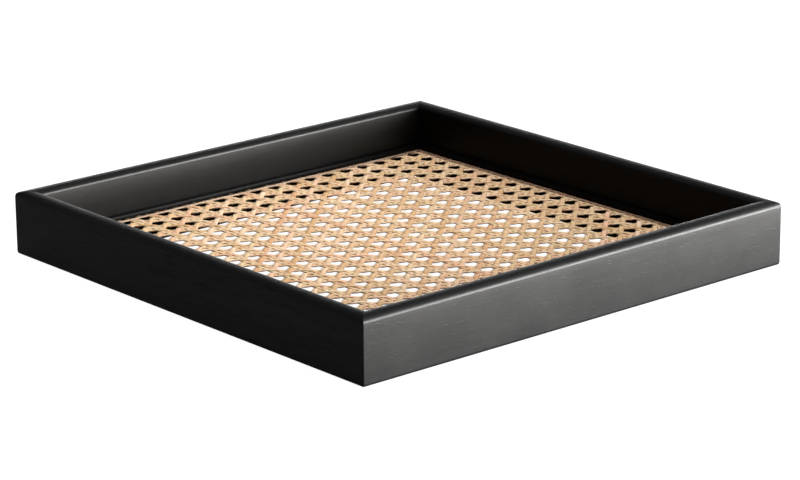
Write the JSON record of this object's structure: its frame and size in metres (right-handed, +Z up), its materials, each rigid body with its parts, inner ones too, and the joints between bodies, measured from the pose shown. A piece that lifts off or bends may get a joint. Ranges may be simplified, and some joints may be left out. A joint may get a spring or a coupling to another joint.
{
  "type": "square tray",
  "caption": "Square serving tray: mitred rails of black-stained wood around a bottom of open woven cane, for carrying or grouping small things on a table.",
  "frame": {"origin": "centre of the underside, on the plane that the rails stand on", "axes": "+Z up, +X and +Y square to the sides; the front is -Y"},
  "size_m": [0.305, 0.305, 0.037],
  "materials": {
    "black_stained_wood": "satin black stain with fine open pores",
    "natural_cane": "natural peeled rattan skin, woven, slight sheen",
    "birch_plywood": "raw, sanded",
    "zinc_plated_steel": "bright zinc plate"
  },
  "bodies": {
    "root": {"rail_front": "black_stained_wood", "rail_right": "black_stained_wood", "rail_back": "black_stained_wood", "rail_left": "black_stained_wood", "ledge_front": "black_stained_wood", "ledge_right": "black_stained_wood", "ledge_back": "black_stained_wood", "ledge_left": "black_stained_wood", "bead_front": "black_stained_wood", "bead_right": "black_stained_wood", "bead_back": "black_stained_wood", "bead_left": "black_stained_wood", "cane_webbing": "natural_cane", "spline_front_left": "birch_plywood", "spline_front_right": "birch_plywood", "spline_back_right": "birch_plywood", "spline_back_left": "birch_plywood", "screw_front_1": "zinc_plated_steel", "screw_front_2": "zinc_plated_steel", "screw_right_1": "zinc_plated_steel", "screw_right_2": "zinc_plated_steel", "screw_back_1": "zinc_plated_steel", "screw_back_2": "zinc_plated_steel", "screw_left_1": "zinc_plated_steel", "screw_left_2": "zinc_plated_steel", "pin_front_1": "zinc_plated_steel", "pin_front_2": "zinc_plated_steel", "pin_front_3": "zinc_plated_steel", "pin_right_1": "zinc_plated_steel", "pin_right_2": "zinc_plated_steel", "pin_right_3": "zinc_plated_steel", "pin_back_1": "zinc_plated_steel", "pin_back_2": "zinc_plated_steel", "pin_back_3": "zinc_plated_steel", "pin_left_1": "zinc_plated_steel", "pin_left_2": "zinc_plated_steel", "pin_left_3": "zinc_plated_steel"}
  },
  "joints": []
}
